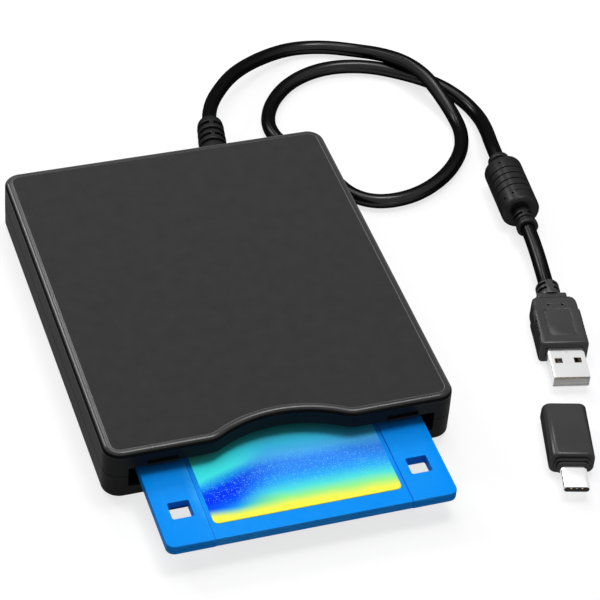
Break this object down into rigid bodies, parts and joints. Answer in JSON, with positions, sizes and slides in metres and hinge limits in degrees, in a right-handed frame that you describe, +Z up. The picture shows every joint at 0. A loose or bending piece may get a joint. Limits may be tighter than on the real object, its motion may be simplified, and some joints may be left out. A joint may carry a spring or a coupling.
{
  "type": "external floppy disk drive",
  "caption": "Slim external drive for rigid-shelled floppy disks, with a disk half inserted, an eject button, a looped cord with a ferrite and USB plug, and a loose USB-C adapter.",
  "frame": {"origin": "centre of the case's footprint, on the surface that the feet stand on", "axes": "+X to the right and +Y to the rear, as seen from the disk slot, +Z up"},
  "size_m": [0.1775, 0.2371, 0.0184],
  "materials": {
    "case_plastic": "fine-textured charcoal, satin on the rim and sides",
    "rubber_black": "matt",
    "screw_steel": "zinc plated",
    "clear_plastic": "clear, glossy",
    "led_green": "tinted, glossy",
    "zinc_sheet": "zinc-plated sheet, satin",
    "disk_blue": "bright azure, satin moulded",
    "label_print": null,
    "liner_fabric": "white non-woven",
    "media_film": "dark brown coated film",
    "hub_steel": "turned-grain bright",
    "shutter_steel": "brushed bright",
    "tab_black": "satin",
    "acetal_black": "satin",
    "board_green": "solder mask, semi-gloss",
    "copper": "enamelled winding",
    "bronze": "sintered",
    "magnet_dark": "matt bonded magnet",
    "ground_steel": "ground bright",
    "motor_steel": "drawn can, satin",
    "head_ceramic": "polished",
    "chip_black": "moulded epoxy",
    "header_white": "nylon",
    "cord_jacket": "satin-gloss black jacket",
    "boot_black": "soft satin-gloss moulding",
    "plug_steel": "bright nickel",
    "plug_tongue_white": "satin",
    "contact_gold": "gold plated"
  },
  "bodies": {
    "drive": {"top_cover": "case_plastic", "bottom_cover": "case_plastic", "rubber_feet": "rubber_black", "case_screws": "screw_steel", "light_pipe": "clear_plastic", "power_light": "led_green", "chassis": "zinc_sheet", "top_shield": "zinc_sheet", "stator_board": "board_green", "stator_coils": "copper", "spindle_bush": "bronze", "stepper_motor": "motor_steel", "screw_bearing": "acetal_black", "guide_rod": "ground_steel", "rod_clips": "acetal_black", "main_board": "board_green", "board_posts": "screw_steel", "drive_chip": "chip_black", "bridge_chip": "chip_black", "board_parts": "chip_black", "cord_connector": "header_white", "sensor_switches": "chip_black", "switch_plungers": "header_white", "strain_relief": "boot_black", "ferrite_cover": "boot_black", "ferrite_core": "magnet_dark", "plug_grip": "boot_black", "plug_shell": "plug_steel", "plug_tongue": "plug_tongue_white", "plug_contacts": "contact_gold", "adapter_housing": "case_plastic", "adapter_socket": "plug_steel", "adapter_tongue": "plug_tongue_white", "adapter_tip": "plug_steel", "cord_to_ferrite": "cord_jacket", "cord_to_plug": "cord_jacket"},
    "slide": {"eject_slider": "zinc_sheet", "eject_button": "case_plastic"},
    "holder": {"disk_holder": "zinc_sheet", "holder_pins": "ground_steel"},
    "disk": {"disk_lower_shell": "disk_blue", "disk_upper_shell": "disk_blue", "disk_label": "label_print", "lower_liner": "liner_fabric", "upper_liner": "liner_fabric"},
    "shutter": {"disk_shutter": "shutter_steel"},
    "media": {"magnetic_disk": "media_film", "disk_hub": "hub_steel"},
    "tab": {"write_protect_tab": "tab_black"},
    "spindle": {"spindle_rotor": "zinc_sheet", "rotor_magnet": "magnet_dark", "spindle_shaft": "ground_steel", "drive_pin": "ground_steel"},
    "screw": {"lead_screw": "ground_steel"},
    "carriage": {"head_carriage": "acetal_black", "arm_pin": "ground_steel", "lower_head": "head_ceramic"},
    "arm": {"upper_head_arm": "acetal_black", "upper_head": "head_ceramic"}
  },
  "joints": [
    {"name": "eject_press", "type": "slide", "parent": "drive", "child": "slide", "axis": [0, 1, 0], "range_m": [0, 0.004], "stiffness_N_per_m": 300},
    {"name": "holder_lift", "type": "slide", "parent": "drive", "child": "holder", "axis": [0, 0, 1], "range_m": [0, 0.002]},
    {"name": "disk_insert", "type": "slide", "parent": "holder", "child": "disk", "axis": [0, 1, 0], "range_m": [-0.064, 0.0315]},
    {"name": "media_spin", "type": "hinge", "parent": "disk", "child": "media", "pos_m": [0, -0.0499, 0.0065], "axis": [0, 0, 1], "continuous": true},
    {"name": "shutter_open", "type": "slide", "parent": "disk", "child": "shutter", "axis": [-1, 0, 0], "range_m": [0, 0.0125], "stiffness_N_per_m": 25},
    {"name": "tab_slide", "type": "slide", "parent": "disk", "child": "tab", "axis": [0, -1, 0], "range_m": [0, 0.0064]},
    {"name": "spindle_spin", "type": "hinge", "parent": "drive", "child": "spindle", "pos_m": [0, -0.0184, 0.005], "axis": [0, 0, 1], "continuous": true},
    {"name": "lead_screw_spin", "type": "hinge", "parent": "drive", "child": "screw", "pos_m": [0.0064, 0.03, 0.0076], "axis": [0, 1, 0], "range_deg": [-1776.5, 0]},
    {"name": "head_travel", "type": "slide", "parent": "drive", "child": "carriage", "axis": [0, 1, 0], "range_m": [-0.0148, 0]},
    {"name": "head_arm_lift", "type": "hinge", "parent": "carriage", "child": "arm", "pos_m": [0, 0.0454, 0.0124], "axis": [-1, 0, 0], "range_deg": [0, 6.51]}
  ],
  "couplings": [
    {"joint": "holder_lift", "follows": "eject_press", "ratio": 0.5},
    {"joint": "lead_screw_spin", "follows": "head_travel", "rad_per_m": 2094.4},
    {"joint": "head_arm_lift", "follows": "eject_press", "rad_per_m": 28.36}
  ]
}
